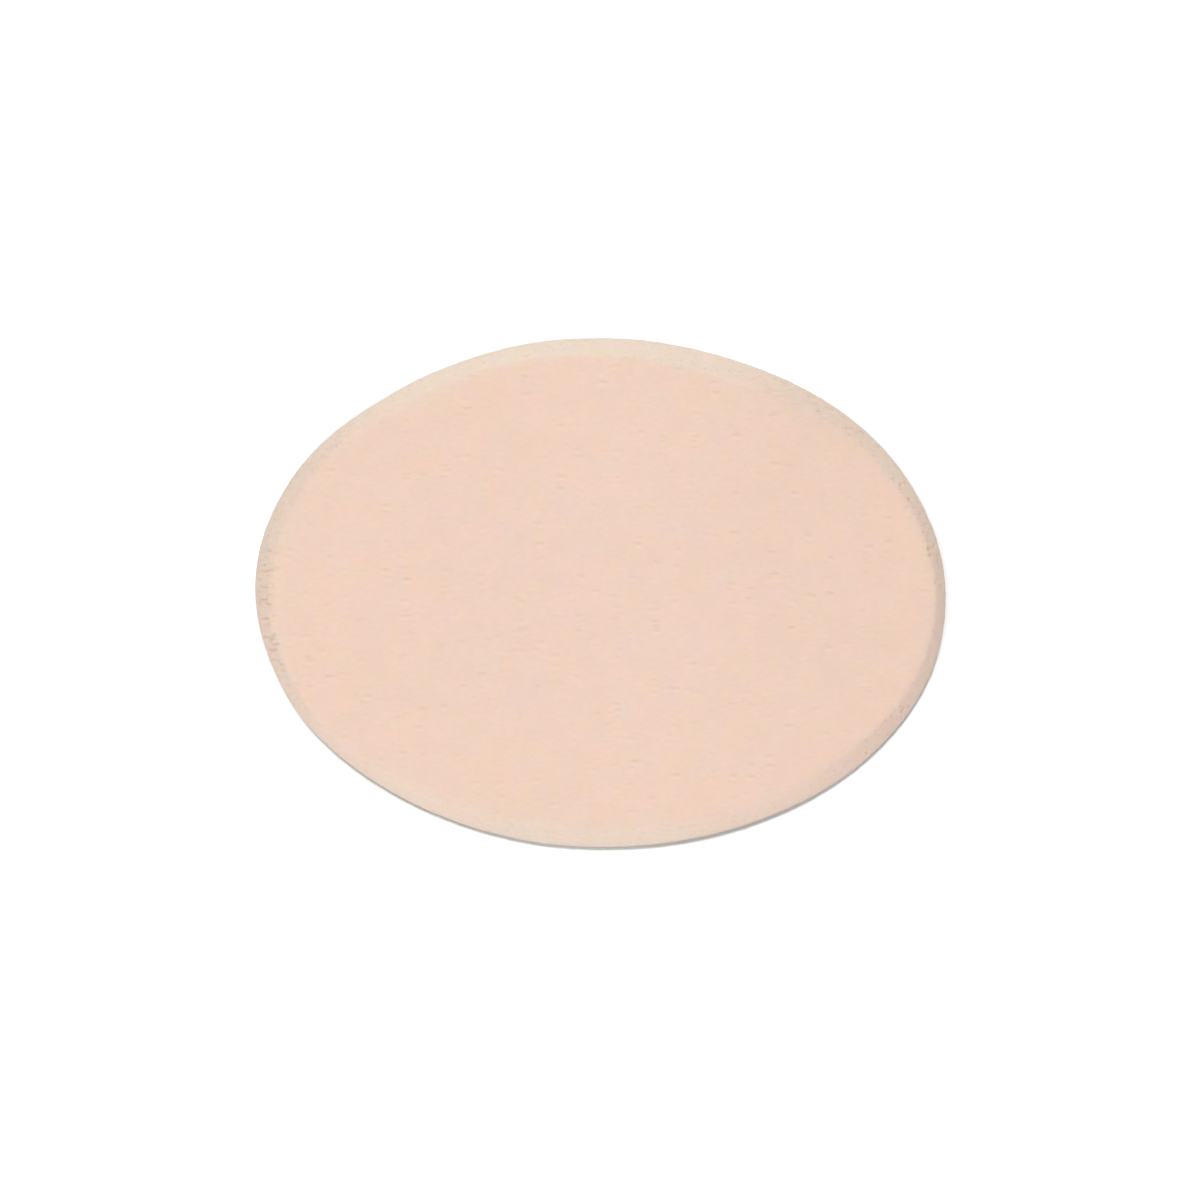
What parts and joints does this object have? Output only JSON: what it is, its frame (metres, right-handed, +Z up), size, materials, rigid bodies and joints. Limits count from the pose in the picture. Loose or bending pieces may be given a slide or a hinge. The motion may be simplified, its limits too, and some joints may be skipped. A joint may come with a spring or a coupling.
{
  "type": "oval makeup sponge",
  "caption": "Flat oval pad of fine-celled foam rubber with a ground, bevelled rim, held in the fingers to apply and blend make-up.",
  "frame": {"origin": "middle of the lower sliced face, on the surface that the pad lies on", "axes": "+X along the oval's long axis, +Y across its width, +Z up through its thickness"},
  "size_m": [0.0748, 0.0552, 0.008],
  "materials": {
    "foam": "matte"
  },
  "bodies": {
    "root": {"foam_pad": "foam"}
  },
  "joints": []
}
